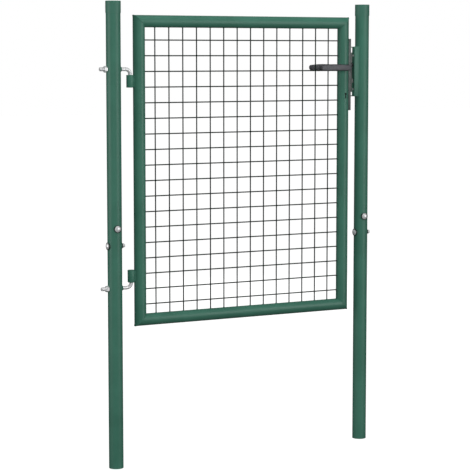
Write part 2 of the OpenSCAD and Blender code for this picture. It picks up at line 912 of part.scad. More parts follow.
// Strike plate with the flange that stops the leaf
module strike_plate() {
    color(LOCK_GREY) at_lock() difference() {
        union() {
            block([strike_x, keep_t - keep_front, -strike_down],
                  [strike_x + strike_t, strike_back + strike_t, strike_up]);
            translate([0, strike_back + strike_t, 0]) rotate([90, 0, 0])
                linear_extrude(height = strike_t) polygon([
                    [strike_x - stop_reach, stop_chamfer - strike_down],
                    [strike_x - stop_reach + stop_chamfer, -strike_down],
                    [strike_x + stop_tail, -strike_down],
                    [strike_x + stop_tail, strike_up],
                    [strike_x - stop_reach + stop_chamfer, strike_up],
                    [strike_x - stop_reach, strike_up - stop_chamfer]
                ]);
        }
        bolt_window(latch_rise, latch_h, strike_x - over, strike_x + strike_t + over);
        bolt_window(-deadbolt_drop, deadbolt_h, strike_x - over, strike_x + strike_t + over);
        for (z = strike_screw_z) translate([strike_x - over, strike_screw_y, z])
            rotate([0, 90, 0]) cylinder(d = plate_screw_d + thread_gap, h = strike_t + 2 * over);
    }
}

module strike_screws() {
    color(ZINC) at_lock() for (z = strike_screw_z) translate([keep_x, strike_screw_y, z])
        plate_screw(strike_screw_l);
}

left_post_lower();
left_post_upper();
left_post_coupler();
left_post_cap();
right_post_lower();
right_post_upper();
right_post_coupler();
right_post_cap();
carriage_bolts();
head_saddle_washers();
nut_saddle_washers();
carriage_nuts();
upper_hinge_hook();
lower_hinge_hook();
hinge_bushes();
hinge_lock_nuts();
keep_bracket();
strike_plate();
strike_screws();
left_stile();
right_stile();
top_rail();
bottom_rail();
upright_wires();
level_wires();
upper_hinge_sleeve();
lower_hinge_sleeve();
lock_case();
lock_cover();
lock_case_screws();
forend_plate();
forend_screws();
latch_spring();
tumbler_spring();
follower();
spindle();
front_lever();
back_lever();
lever_grub_screws();
latch_bolt();
deadbolt();
tumbler();
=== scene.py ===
import json
import logging
import math
from dataclasses import dataclass, field
from enum import Enum

import bmesh
import bpy
from mathutils import Matrix, Vector


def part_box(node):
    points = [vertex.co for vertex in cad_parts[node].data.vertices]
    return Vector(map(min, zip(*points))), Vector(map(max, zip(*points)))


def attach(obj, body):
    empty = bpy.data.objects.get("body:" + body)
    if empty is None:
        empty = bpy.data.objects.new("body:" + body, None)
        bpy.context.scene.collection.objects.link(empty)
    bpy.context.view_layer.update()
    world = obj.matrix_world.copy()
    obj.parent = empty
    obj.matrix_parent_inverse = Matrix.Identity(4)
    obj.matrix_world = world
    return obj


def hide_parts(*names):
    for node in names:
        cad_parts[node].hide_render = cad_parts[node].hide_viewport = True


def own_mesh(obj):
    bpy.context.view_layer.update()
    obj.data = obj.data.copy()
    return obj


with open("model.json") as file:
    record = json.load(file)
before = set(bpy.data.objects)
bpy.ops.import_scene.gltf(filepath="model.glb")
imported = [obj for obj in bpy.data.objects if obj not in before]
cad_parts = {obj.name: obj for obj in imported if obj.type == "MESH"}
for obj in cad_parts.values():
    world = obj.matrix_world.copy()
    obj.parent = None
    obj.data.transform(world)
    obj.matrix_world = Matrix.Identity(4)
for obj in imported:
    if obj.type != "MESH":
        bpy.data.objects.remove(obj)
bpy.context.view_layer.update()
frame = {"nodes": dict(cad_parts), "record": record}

log = logging.getLogger("mesh_gate")

Colour = tuple[float, float, float]
Outline = tuple[float, float]
Socket = bpy.types.NodeSocket
NodeTree = bpy.types.NodeTree
Mesh = bmesh.types.BMesh
Vert = bmesh.types.BMVert
Edge = bmesh.types.BMEdge

MM = 0.001
# Vertices closer than this, in metres, are one
MERGE = 1e-6
# Faces that turn by less than this are one
FLAT_DEG = 0.2
# Edges that turn by more than this are rounded
SHARP_DEG = 50.0
# A weld bead's ripples: rings between two of them, and their height as a share of the bead's radius
RIPPLE_STEPS = 4
RIPPLE_H = 0.14
# Size of an open bead's two end rings
BEAD_END = 0.55
BEAD_SIDES = 8
# Steps of one turn of a helix
TURN_STEPS = 28
# Depths of the bump on sprayed coats and on other surfaces
PEEL_DEPTH = 0.3 * MM
GRAIN_DEPTH = 0.2 * MM
# Lowest and highest value that a noise usually has
NOISE_SPAN = (0.3, 0.7)
# Places of the colour sockets of a Mix node
COLOUR_MIX_INPUTS = (0, 6, 7)
COLOUR_MIX_OUTPUT = 2


def linear(red: int, green: int, blue: int) -> Colour:
    """Turns a paint chart's 0-255 colour into Blender's linear one.

    Args:
        red: Red part, 0 to 255.
        green: Green part, 0 to 255.
        blue: Blue part, 0 to 255.

    Returns:
        The same colour in linear values.
    """
    def part(value: int) -> float:
        """Linear value of one part."""
        share = value / 255
        return share / 12.92 if share <= 0.04045 else ((share + 0.055) / 1.055) ** 2.4
    return part(red), part(green), part(blue)


class Body(Enum):
    """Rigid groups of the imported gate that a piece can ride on."""

    POSTS = "posts"
    LEAF = "leaf"
    HANDLE = "handle"
    LATCH = "latch"
    LOCK_BOLT = "lock_bolt"


class Slot(Enum):
    """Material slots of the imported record."""

    GREEN_COAT = "green_coat"
    GREEN_CAP = "green_cap"
    GREEN_WIRE = "green_wire"
    DARK_PLASTIC = "dark_green_plastic"
    ZINC = "zinc"
    LOCK_GREY = "lock_grey"
    LEVER_GREY = "lever_grey"
    DARK_STEEL = "dark_steel"


# --- Shader node groups shared by the finishes ---


class Graph:
    """Small helper that adds and joins the nodes of one node tree."""

    def __init__(self, tree: NodeTree) -> None:
        """Keeps the tree that the nodes go into."""
        self.tree = tree

    def node(self, kind: str, **values: object) -> bpy.types.Node:
        """Adds a node and sets its properties and sockets.

        Args:
            kind: Blender's name of the node type.
            **values: Properties of the node, or values of the sockets of that name, with _ for a space.

        Returns:
            The new node.
        """
        made = self.tree.nodes.new(kind)
        for name, value in values.items():
            if hasattr(made, name):
                setattr(made, name, value)
            else:
                made.inputs[name.replace("_", " ")].default_value = value
        return made

    def join(self, start: Socket, end: Socket) -> None:
        """Links one socket to another."""
        self.tree.links.new(start, end)

    def feed(self, value: Socket | Colour | float, socket: Socket) -> None:
        """Links a socket to an input, or sets the input to a colour or a number.

        Args:
            value: What the input takes.
            socket: The input.
        """
        if isinstance(value, Socket):
            self.join(value, socket)
        else:
            socket.default_value = (*value, 1.0) if isinstance(value, tuple) else value

    def math(self, operation: str, *operands: Socket | float, clamp: bool = False) -> Socket:
        """Adds a Math node.

        Args:
            operation: Blender's name of the operation.
            *operands: Operands, each a socket or a number.
            clamp: Whether the result is kept between 0 and 1.

        Returns:
            The result's socket.
        """
        made = self.node("ShaderNodeMath", operation=operation, use_clamp=clamp)
        for operand, socket in zip(operands, made.inputs):
            self.feed(operand, socket)
        return made.outputs[0]

    def texture(self, kind: str, output: str, place: Socket, scale: Socket | float,
                **values: float) -> Socket:
        """Adds a texture.

        Args:
            kind: Blender's name of the texture node's type.
            output: Name of the wanted output.
            place: Coordinates that the texture reads.
            scale: Waves or cells a metre, about.
            **values: Values of the node's sockets.

        Returns:
            The output's socket.
        """
        made = self.node(kind, **values)
        self.feed(scale, made.inputs["Scale"])
        self.join(place, made.inputs["Vector"])
        return made.outputs[output]

    def noise(self, place: Socket, scale: Socket | float, detail: float, rough: float = 0.55) -> Socket:
        """Adds a noise texture.

        Args:
            place: Coordinates that the noise reads.
            scale: Waves a metre, about.
            detail: Octaves of finer noise.
            rough: Strength of the finer octaves.

        Returns:
            The noise's value socket.
        """
        return self.texture("ShaderNodeTexNoise", "Fac", place, scale, Detail=detail, Roughness=rough)

    def stretch(self, value: Socket) -> Socket:
        """Maps a noise's usual span onto 0 to 1.

        Args:
            value: Noise value.

        Returns:
            The mapped value's socket.
        """
        made = self.node("ShaderNodeMapRange", clamp=True, From_Min=NOISE_SPAN[0], From_Max=NOISE_SPAN[1])
        self.join(value, made.inputs["Value"])
        return made.outputs[0]

    def mix(self, share: Socket | float, first: Socket | Colour, second: Socket | Colour,
            blend: str = "MIX") -> Socket:
        """Adds a colour mix.

        Args:
            share: Share of the second colour.
            first: First colour.
            second: Second colour.
            blend: Blender's name of the blend type.

        Returns:
            The mixed colour's socket.
        """
        made = self.node("ShaderNodeMix", data_type="RGBA", blend_type=blend)
        for value, place in zip((share, first, second), COLOUR_MIX_INPUTS):
            self.feed(value, made.inputs[place])
        return made.outputs[COLOUR_MIX_OUTPUT]


class Effect(Enum):
    """Node groups that several finishes share."""

    COAT_GRAIN = "coat_grain"
    METAL_GRAIN = "metal_grain"
    HANDLING = "handling_wear"


class EffectGraph(Graph):
    """Graph of a shader node group that reads a place on the piece."""

    def __init__(self, effect: Effect, numbers: dict[str, float], outputs: tuple[str, ...],
                 places: tuple[str, ...] = ("Place",)) -> None:
        """Makes the group with its sockets.

        Args:
            effect: Which group it is.
            numbers: Number inputs and their default values.
            outputs: Names of the number outputs.
            places: Names of the vector inputs.
        """
        super().__init__(bpy.data.node_groups.new(effect.value, "ShaderNodeTree"))
        sockets = self.tree.interface
        for label in places:
            sockets.new_socket(name=label, in_out="INPUT", socket_type="NodeSocketVector")
        for label, value in numbers.items():
            made = sockets.new_socket(name=label, in_out="INPUT", socket_type="NodeSocketFloat")
            made.default_value = value
        for label in outputs:
            sockets.new_socket(name=label, in_out="OUTPUT", socket_type="NodeSocketFloat")
        self.given = self.node("NodeGroupInput").outputs
        self.wanted = self.node("NodeGroupOutput").inputs


def coat_grain() -> NodeTree:
    """Builds the group for sprayed and baked coats: slow drift, orange peel and specks of dust.

    Returns:
        The group.
    """
    fine_scale, fine_share = 2600.0, 0.25
    speck_scale, speck_edge = 210.0, 7.0
    patch_scale = 16.0
    group = EffectGraph(Effect.COAT_GRAIN, {"Peel Scale": 700.0, "Drift Scale": 9.0, "Dust": 0.1},
                        ("Drift", "Dust", "Height"))
    place = group.given["Place"]
    drift = group.noise(place, group.given["Drift Scale"], detail=4.0, rough=0.6)
    group.join(group.stretch(drift), group.wanted["Drift"])
    peel = group.noise(place, group.given["Peel Scale"], detail=2.0, rough=0.5)
    fine = group.noise(place, fine_scale, detail=1.0)
    group.join(group.math("MULTIPLY_ADD", fine, fine_share, peel), group.wanted["Height"])
    specks = group.texture("ShaderNodeTexVoronoi", "Distance", place, speck_scale)
    near = group.math("MULTIPLY_ADD", specks, -speck_edge, 1.0, clamp=True)
    patches = group.stretch(group.noise(place, patch_scale, detail=5.0))
    dust = group.math("MULTIPLY", group.math("MULTIPLY", near, patches), group.given["Dust"])
    group.join(dust, group.wanted["Dust"])
    return group.tree


def metal_grain() -> NodeTree:
    """Builds the group for bare and plated metal: cloudy plating, crystal flecks and scratches.

    Returns:
        The group.
    """
    scratch_length = (1.0, 1.0, 0.06)
    group = EffectGraph(Effect.METAL_GRAIN,
                        {"Cloud Scale": 60.0, "Fleck Scale": 420.0, "Scratch Scale": 900.0},
                        ("Cloud", "Fleck", "Height"))
    place = group.given["Place"]
    cloud = group.noise(place, group.given["Cloud Scale"], detail=5.0, rough=0.62)
    group.join(group.stretch(cloud), group.wanted["Cloud"])
    grey = group.node("ShaderNodeRGBToBW")
    fleck = group.texture("ShaderNodeTexVoronoi", "Color", place, group.given["Fleck Scale"])
    group.join(fleck, grey.inputs["Color"])
    group.join(grey.outputs["Val"], group.wanted["Fleck"])
    along = group.node("ShaderNodeMapping", Scale=scratch_length)
    group.join(place, along.inputs["Vector"])
    scratch = group.noise(along.outputs["Vector"], group.given["Scratch Scale"], detail=3.0, rough=0.6)
    group.join(scratch, group.wanted["Height"])
    return group.tree


def handling() -> NodeTree:
    """Builds the group for worn places: a soft mask, full at one point and broken up by noise.

    Returns:
        The group.
    """
    group = EffectGraph(Effect.HANDLING, {"Reach": 0.05, "Break Scale": 180.0}, ("Mask",),
                        ("Place", "Centre"))
    away = group.node("ShaderNodeVectorMath", operation="DISTANCE")
    for name, socket in zip(("Place", "Centre"), away.inputs):
        group.join(group.given[name], socket)
    share = group.math("DIVIDE", away.outputs["Value"], group.given["Reach"])
    full = group.math("SUBTRACT", 1.0, share, clamp=True)
    grain = group.noise(group.given["Place"], group.given["Break Scale"], detail=6.0, rough=0.7)
    group.join(group.math("MULTIPLY", full, group.stretch(grain)), group.wanted["Mask"])
    return group.tree


def build_effects() -> dict[Effect, NodeTree]:
    """Builds the shared groups, each once."""
    return {Effect.COAT_GRAIN: coat_grain(), Effect.METAL_GRAIN: metal_grain(),
            Effect.HANDLING: handling()}


# --- Finishes ---


class Surface(Graph):
    """Graph of a material, with its Principled shader and the Object coordinates."""

    def __init__(self, tree: NodeTree, effects: dict[Effect, NodeTree]) -> None:
        """Finds the shader and adds the coordinates.

        Args:
            tree: Node tree of the material.
            effects: Shared node groups.
        """
        super().__init__(tree)
        self.effects = effects
        self.shader = tree.nodes["Principled BSDF"].inputs
        self.where = self.node("ShaderNodeTexCoord").outputs["Object"]

    def effect(self, effect: Effect, **values: object) -> bpy.types.NodeOutputs:
        """Adds one of the shared groups.

        Args:
            effect: Which group.
            **values: Values of the group's inputs, with _ for a space.

        Returns:
            The group's outputs.
        """
        made = self.node("ShaderNodeGroup", node_tree=self.effects[effect], **values)
        self.join(self.where, made.inputs["Place"])
        return made.outputs

    def bump(self, height: Socket, strength: float, depth: float = GRAIN_DEPTH) -> None:
        """Feeds a height into the shader's normal.

        Args:
            height: Height's socket.
            strength: Strength of the bump.
            depth: Depth of the bump, in metres.
        """
        made = self.node("ShaderNodeBump", Strength=strength, Distance=depth)
        self.join(height, made.inputs["Height"])
        self.join(made.outputs["Normal"], self.shader["Normal"])


class Finish:
    """Base of the finishes: one material each."""

    name: str

    def build(self, effects: dict[Effect, NodeTree]) -> bpy.types.Material:
        """Builds the material.

        Args:
            effects: Shared node groups.

        Returns:
            The finished material.
        """
        made = bpy.data.materials.new(self.name)
        made.use_nodes = True
        self.dress(Surface(made.node_tree, effects))
        return made

    def dress(self, surface: Surface) -> None:
        """Fills in the surface; each finish has its own way."""
        raise NotImplementedError


@dataclass(frozen=True)
class PowderCoat(Finish):
    """Baked powder coat.

    Attributes:
        name: Name of the material.
        base: Usual colour.
        shade: Colour where the coat is thin or in the drift's troughs.
        rough: Lowest and highest roughness.
        peel: Strength of the orange peel.
        dust: Strength of the dust specks.
        dust_colour: Colour of the specks.
        dust_rough: What the specks add to the roughness.
        gloss: Specular level.
    """

    name: str
    base: Colour
    shade: Colour
    rough: tuple[float, float] = (0.40, 0.52)
    peel: float = 0.16
    dust: float = 0.18
    dust_colour: Colour = (0.42, 0.44, 0.40)
    dust_rough: float = 0.5
    gloss: float = 0.5

    def dress(self, surface: Surface) -> None:
        """Fills in the surface.

        Args:
            surface: Surface to fill in.
        """
        grain = surface.effect(Effect.COAT_GRAIN, Dust=self.dust)
        low, high = self.rough
        colour = surface.mix(grain["Drift"], self.shade, self.base)
        surface.join(surface.mix(grain["Dust"], colour, self.dust_colour), surface.shader["Base Color"])
        rough = surface.math("MULTIPLY_ADD", grain["Drift"], high - low, low)
        surface.join(surface.math("MULTIPLY_ADD", grain["Dust"], self.dust_rough, rough),
                     surface.shader["Roughness"])
        surface.shader["Specular IOR Level"].default_value = self.gloss
        surface.bump(grain["Height"], self.peel, PEEL_DEPTH)


@dataclass(frozen=True)
class Plating(Finish):
    """Bare or plated metal.

    Attributes:
        name: Name of the material.
        base: Usual colour.
        stain: Colour of the cloudy patches.
        metallic: How metallic the surface is.
        rough: Lowest and highest roughness.
        fleck: Share of the crystal flecks in the colour.
        scratch: Strength of the fine scratches.
    """

    name: str
    base: Colour
    stain: Colour
    metallic: float
    rough: tuple[float, float] = (0.28, 0.46)
    fleck: float = 0.12
    scratch: float = 0.12

    def dress(self, surface: Surface) -> None:
        """Fills in the surface.

        Args:
            surface: Surface to fill in.
        """
        grain = surface.effect(Effect.METAL_GRAIN)
        low, high = self.rough
        clouds = surface.mix(grain["Cloud"], self.stain, self.base)
        flecks = surface.math("MULTIPLY_ADD", grain["Fleck"], self.fleck, 1.0 - self.fleck / 2)
        bright = surface.node("ShaderNodeCombineColor")
        for channel in bright.inputs:
            surface.join(flecks, channel)
        colour = surface.mix(1.0, clouds, bright.outputs["Color"], "MULTIPLY")
        surface.join(colour, surface.shader["Base Color"])
        rough = surface.math("MULTIPLY_ADD", grain["Cloud"], low - high, high)
        surface.join(rough, surface.shader["Roughness"])
        surface.shader["Metallic"].default_value = self.metallic
        surface.bump(grain["Height"], self.scratch)


@dataclass(frozen=True)
class MouldedPlastic(Finish):
    """Moulded plastic with a fine leathery grain.

    Attributes:
        name: Name of the material.
        base: Usual colour.
        rough: Middle roughness.
        rough_span: Width of the roughness' span.
        grain: Strength of the moulded grain.
        shade: Brightness of the drift's troughs, as a share of the usual colour.
        dust_lift: What the dust adds to the colour.
    """

    name: str
    base: Colour
    rough: float = 0.5
    rough_span: float = 0.12
    grain: float = 0.22
    shade: float = 0.86
    dust_lift: float = 0.25

    def dress(self, surface: Surface) -> None:
        """Fills in the surface.

        Args:
            surface: Surface to fill in.
        """
        grain = surface.effect(Effect.COAT_GRAIN, Peel_Scale=1500.0, Drift_Scale=30.0, Dust=0.12)
        dark = tuple(self.shade * part for part in self.base)
        pale = tuple(min(1.0, self.dust_lift + part) for part in self.base)
        colour = surface.mix(grain["Drift"], dark, self.base)
        surface.join(surface.mix(grain["Dust"], colour, pale), surface.shader["Base Color"])
        surface.join(surface.math("MULTIPLY_ADD", grain["Drift"], self.rough_span,
                                  self.rough - self.rough_span / 2), surface.shader["Roughness"])
        surface.bump(grain["Height"], self.grain)


@dataclass(frozen=True)
class LeverFinish(Finish):
    """Satin coat of the levers, rubbed bright where hands hold them.

    Attributes:
        name: Name of the material.
        base: Usual colour.
        rubbed: Colour where it is rubbed.
        hold: Point in the gate's frame round which the levers are rubbed.
        reach: Distance over which the rubbing fades, in metres.
        shade: Brightness of the drift's troughs, as a share of the usual colour.
        rough: Roughness of the unrubbed coat.
        rough_span: What the drift adds to the roughness.
        polish: What the rubbing takes from the roughness.
        metallic: How metallic the surface is.
        peel: Strength of the orange peel.
    """

    name: str
    base: Colour
    rubbed: Colour
    hold: tuple[float, float, float] = (0.79, 0.0, 1.295)
    reach: float = 0.075
    shade: float = 0.78
    rough: float = 0.46
    rough_span: float = 0.06
    polish: float = 0.16
    metallic: float = 0.35
    peel: float = 0.12

    def dress(self, surface: Surface) -> None:
        """Fills in the surface.

        Args:
            surface: Surface to fill in.
        """
        grain = surface.effect(Effect.COAT_GRAIN, Dust=0.05, Drift_Scale=22.0)
        worn = surface.effect(Effect.HANDLING, Reach=self.reach, Centre=self.hold)
        dark = tuple(self.shade * part for part in self.base)
        colour = surface.mix(grain["Drift"], dark, self.base)
        surface.join(surface.mix(worn["Mask"], colour, self.rubbed), surface.shader["Base Color"])
        rough = surface.math("MULTIPLY_ADD", worn["Mask"], -self.polish, self.rough)
        surface.join(surface.math("MULTIPLY_ADD", grain["Drift"], self.rough_span, rough),
                     surface.shader["Roughness"])
        surface.shader["Metallic"].default_value = self.metallic
        surface.bump(grain["Height"], self.peel)


# --- Finishes of this gate ---


GREEN_COAT = PowderCoat("green_powder_coat", linear(59, 110, 93), linear(51, 98, 82))
WIRE_COAT = PowderCoat("green_wire_coat", linear(18, 36, 29), linear(12, 26, 21), rough=(0.5, 0.62),
                       peel=0.1, gloss=0.3)
CAP_PLASTIC = MouldedPlastic("green_cap_plastic", linear(60, 108, 92))
SADDLE_PLASTIC = MouldedPlastic("dark_saddle_plastic", linear(28, 52, 44), rough=0.42)
ZINC = Plating("bright_zinc", linear(246, 246, 247), linear(226, 227, 229), metallic=0.55)
# Painted light: the strike plate takes a paler grey than the lock's own sheet, so that it shows lit where
# it sits in deep shade in the gap between forend and keep
STRIKE_SHEET_PAINTED_LIGHT = Plating("grey_strike_sheet_painted_light", linear(168, 172, 169), linear(150, 154, 151), metallic=0.1,
                       rough=(0.45, 0.6))
LOCK_SHEET = Plating("grey_lock_sheet", linear(84, 90, 88), linear(70, 76, 74), metallic=0.25,
                     rough=(0.38, 0.55), fleck=0.18)
OILED_STEEL = Plating("oiled_steel", linear(64, 66, 68), linear(40, 42, 44), metallic=0.8,
                      rough=(0.3, 0.5), fleck=0.1)
LEVER_COAT = LeverFinish("lever_satin_coat", linear(74, 75, 79), linear(98, 99, 103))

SLOT_FINISH: dict[Slot, Finish] = {
    Slot.GREEN_COAT: GREEN_COAT,
    Slot.GREEN_CAP: CAP_PLASTIC,
    Slot.GREEN_WIRE: WIRE_COAT,
    Slot.DARK_PLASTIC: SADDLE_PLASTIC,
    Slot.ZINC: ZINC,
    Slot.LOCK_GREY: LOCK_SHEET,
    Slot.LEVER_GREY: LEVER_COAT,
    Slot.DARK_STEEL: OILED_STEEL,
}


# --- Making and placing pieces ---


@dataclass
class Workshop:
    """Finished materials, and the last steps that every piece goes through."""

    effects: dict[Effect, NodeTree] = field(default_factory=build_effects)
    materials: dict[str, bpy.types.Material] = field(default_factory=dict)

    def material(self, finish: Finish) -> bpy.types.Material:
        """Finds the material of a finish, and builds it on its first use.

        Args:
            finish: The finish.

        Returns:
            Its material.
        """
        if finish.name not in self.materials:
            self.materials[finish.name] = finish.build(self.effects)
        return self.materials[finish.name]

    def dress_nodes(self) -> None:
        """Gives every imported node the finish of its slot."""
        for subpart in frame["record"]["subparts"]:
            finish = SLOT_FINISH[Slot(subpart["material_slot"])]
            data = frame["nodes"][subpart["node"]].data
            data.materials.clear()
            data.materials.append(self.material(finish))
            log.info("node %s: %s", subpart["node"], finish.name)

    def finish_piece(self, mesh: Mesh, name: str, body: Body, slot: Slot,
                     smooth_deg: float = 35.0, replaces: tuple[str, ...] = (),
                     finish: Finish | None = None) -> bpy.types.Object:
        """Turns a finished bmesh into a piece of the gate.

        Args:
            mesh: Mesh in the gate's frame; it is freed here.
            name: Name of the piece.
            body: Body that the piece rides on.
            slot: Record slot that it takes its finish from.
            smooth_deg: Edges flatter than this are shaded smooth.
            replaces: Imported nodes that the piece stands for.
            finish: Finish in place of its slot's usual one.

        Returns:
            The new object.
        """
        bmesh.ops.remove_doubles(mesh, verts=mesh.verts, dist=MERGE)
        bmesh.ops.recalc_face_normals(mesh, faces=mesh.faces)
        for face in mesh.faces:
            face.smooth = True
        data = bpy.data.meshes.new(name)
        mesh.to_mesh(data)
        mesh.free()
        data.set_sharp_from_angle(angle=math.radians(smooth_deg))
        data.materials.append(self.material(finish or SLOT_FINISH[slot]))
        made = bpy.data.objects.new(name, data)
        bpy.context.scene.collection.objects.link(made)
        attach(made, body.value)
        if replaces:
            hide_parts(*replaces)
        log.info("piece %s on %s: %d faces", name, body.value, len(data.polygons))
        return made

    def soften(self, node: str, name: str, body: Body, slot: Slot, edge_r: float,
               finish: Finish | None = None) -> bpy.types.Object:
        """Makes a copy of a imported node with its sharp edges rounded, in the node's place.

        Args:
            node: Name of the node.
            name: Name of the new piece.
            body: Body that the piece rides on.
            slot: Record slot of its finish.
            edge_r: Width of the rounding, in metres.
            finish: Finish in place of its slot's usual one.

        Returns:
            The new object.
        """
        mesh = merged_copy(node)
        limit = math.radians(SHARP_DEG)
        sharp = [edge for edge in mesh.edges if edge.is_manifold and edge.calc_face_angle(0.0) > limit]
        bevel_edges(mesh, sharp, edge_r, segments=2)
        return self.finish_piece(mesh, name, body, slot, replaces=(node,), finish=finish)


def merged_copy(node: str) -> Mesh:
    """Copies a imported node's mesh and joins its loose triangles into flat faces.

    Args:
        node: Name of the node.

    Returns:
        The copy, in the gate's frame.
    """
    mesh = bmesh.new()
    mesh.from_mesh(frame["nodes"][node].data)
    bmesh.ops.remove_doubles(mesh, verts=mesh.verts, dist=MERGE)
    bmesh.ops.dissolve_limit(mesh, angle_limit=math.radians(FLAT_DEG), use_dissolve_boundaries=False,
                             verts=mesh.verts, edges=mesh.edges)
    return mesh


def bevel_edges(mesh: Mesh, edges: list[Edge], offset: float, segments: int) -> None:
    """Rounds edges.

    Args:
        mesh: Mesh to change.
        edges: Edges to round.
        offset: Width of the rounding, in metres.
        segments: Steps of the rounding.
    """
    bmesh.ops.bevel(mesh, geom=edges, offset=offset, offset_type="OFFSET", affect="EDGES",
                    segments=segments, profile=0.5, material=-1, clamp_overlap=True)


def ring_edges(verts: list[Vert]) -> list[Edge]:
    """Finds the edges that join vertices to each other.

    Args:
        verts: The vertices.

    Returns:
        The edges between them.
    """
    inside = set(verts)
    return list({edge for vert in verts for edge in vert.link_edges
                 if edge.verts[0] in inside and edge.verts[1] in inside})


def add_circle(mesh: Mesh, place: Matrix, radius: float, segments: int) -> list[Vert]:
    """Adds an open circle.

    Args:
        mesh: Mesh to add to.
        place: Its place; it lies flat on this place's X and Y.
        radius: Its radius, in metres.
        segments: Number of its edges.

    Returns:
        Its vertices.
    """
    return bmesh.ops.create_circle(mesh, cap_ends=False, segments=segments, radius=radius,
                                   matrix=place)["verts"]


def extrude_ring(mesh: Mesh, verts: list[Vert], matrix: Matrix) -> list[Vert]:
    """Extrudes a ring of edges and moves the new ring.

    Args:
        mesh: Mesh to change.
        verts: Vertices of the ring.
        matrix: Move of the new ring.

    Returns:
        Vertices of the new ring.
    """
    made = bmesh.ops.extrude_edge_only(mesh, edges=ring_edges(verts))["geom"]
    fresh = [item for item in made if isinstance(item, Vert)]
    bmesh.ops.transform(mesh, matrix=matrix, verts=fresh)
    return fresh


def weld_bead(mesh: Mesh, path: list[Vector], radius: float, closed: bool = False) -> None:
    """Adds a weld bead with the ripples of a torch along a path.

    Args:
        mesh: Mesh to add to.
        path: Evenly spaced points of the bead's centre line.
        radius: Radius of the bead's section.
        closed: Whether the last point joins the first.
    """
    last = len(path) - 1
    places: list[Matrix] = []
    turn = None
    before = None
    for index, point in enumerate(path):
        ahead = path[(index + 1) % len(path)] if closed else path[min(index + 1, last)]
        behind = path[index - 1] if closed else path[max(index - 1, 0)]
        along = (ahead - behind).normalized()
        turn = before.rotation_difference(along) @ turn if before else along.to_track_quat("Z", "Y")
        before = along
        size = radius * (1.0 + RIPPLE_H * math.sin(index * math.tau / RIPPLE_STEPS))
        if not closed and index in (0, last):
            size *= BEAD_END
        places.append(Matrix.LocRotScale(point, turn, Vector((size, size, size))))
    first = add_circle(mesh, places[0], 1.0, BEAD_SIDES)
    ring = first
    for start, end in zip(places, places[1:]):
        ring = extrude_ring(mesh, ring, end @ start.inverted())
    if closed:
        bmesh.ops.bridge_loops(mesh, edges=ring_edges(ring) + ring_edges(first))
    else:
        for loop in (first, ring):
            bmesh.ops.contextual_create(mesh, geom=ring_edges(loop))


def straight_path(start: Vector, end: Vector, step: float) -> list[Vector]:
    """Evenly spaced points from one end to the other.

    Args:
        start: First point.
        end: Last point.
        step: Distance between points, about, in metres.

    Returns:
        The points.
    """
    count = max(2, round((end - start).length / step))
    return [start.lerp(end, index / count) for index in range(count + 1)]


def ring_angles(radius: float, step: float) -> list[float]:
    """Angles of evenly spaced points round a ring.

    Args:
        radius: Radius of the ring, in metres.
        step: Distance between points, about, in metres.

    Returns:
        The angles, in radians.
    """
    count = round(math.tau * radius / step)
    return [math.tau * index / count for index in range(count)]


def nugget(mesh: Mesh, centre: Vector, size: Vector) -> None:
    """Adds a small flattened lump of weld metal.

    Args:
        mesh: Mesh to add to.
        centre: Its centre.
        size: Its half sizes.
    """
    bmesh.ops.create_uvsphere(mesh, u_segments=8, v_segments=4, radius=1.0,
                              matrix=Matrix.LocRotScale(centre, None, size))


def helix(mesh: Mesh, start: Vector, length: float, radius: float, pitch: float,
          section_r: float, sides: int) -> None:
    """Adds a bar wound round an axis along +X.

    Args:
        mesh: Mesh to add to.
        start: Point of the axis where the bar's centre line starts.
        length: Length from the centre line's start to its end, in metres.
        radius: Radius of the centre line, in metres.
        pitch: Pitch of the turns, in metres.
        section_r: Radius of the bar's section, in metres.
        sides: Number of sides of the section.
    """
    steps = round(length / pitch * TURN_STEPS)
    place = Matrix.Translation(start + Vector((0, 0, radius))) @ Matrix.Rotation(math.pi / 2, 4, "X")
    section = add_circle(mesh, place, section_r, sides)
    bmesh.ops.spin(mesh, geom=section + ring_edges(section), cent=start, axis=(1, 0, 0),
                   dvec=(pitch / TURN_STEPS, 0, 0), angle=math.tau * steps / TURN_STEPS, steps=steps,
                   use_merge=False)
    bmesh.ops.holes_fill(mesh, edges=[edge for edge in mesh.edges if edge.is_boundary], sides=sides)


def helix_ridge(mesh: Mesh, start: Vector, length: float, radius: float, pitch: float) -> None:
    """Adds a screw thread's ridge round a rod along +X.

    Args:
        mesh: Mesh to add to.
        start: Point of the rod's axis where the thread starts.
        length: Length of the thread, in metres.
        radius: Radius of the rod, in metres.
        pitch: Pitch of the thread, in metres.
    """
    crest = 0.34 * pitch
    sunk = 0.35 * crest
    helix(mesh, start, length, radius - sunk, pitch, crest, sides=3)


# --- Sub-assemblies ---


@dataclass
class SubAssembly:
    """Base of the sub-assemblies.

    Attributes:
        shop: Workshop that finishes their pieces.
    """

    shop: Workshop


